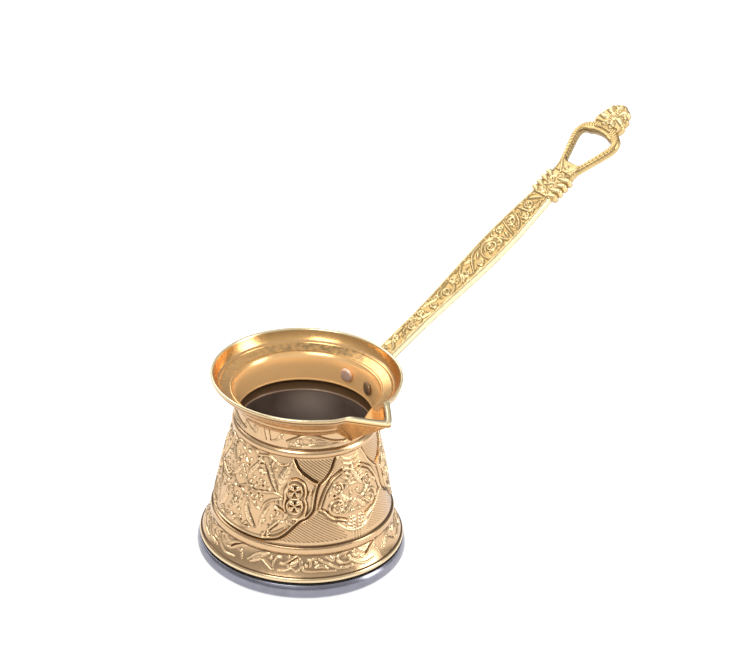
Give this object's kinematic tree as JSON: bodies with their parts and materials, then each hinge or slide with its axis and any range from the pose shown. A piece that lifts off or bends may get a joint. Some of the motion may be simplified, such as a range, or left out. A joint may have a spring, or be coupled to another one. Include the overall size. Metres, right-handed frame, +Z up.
{
  "type": "turkish coffee pot",
  "caption": "Waisted brass coffee pot with a flared rim, a pouring beak, a capped round base and a long cast handle riveted to the neck, ending in a hanging loop.",
  "frame": {"origin": "centre of the base cap's flat underside, where the pot stands", "axes": "+Z up along the pot's axis, +X along the handle, -Y towards the beak"},
  "size_m": [0.2113, 0.0932, 0.1582],
  "materials": {
    "brass_body": "embossed sheet brass with a soft polish",
    "steel_cap": "polished stainless steel",
    "aluminium_core": "plain pressed disc",
    "cast_brass": "cast relief on top, polished sides",
    "rivet_metal": "flattened rivet heads"
  },
  "bodies": {
    "root": {"pot_body": "brass_body", "base_cap": "steel_cap", "base_core": "aluminium_core", "handle": "cast_brass", "rivet_left": "rivet_metal", "rivet_right": "rivet_metal"}
  },
  "joints": []
}
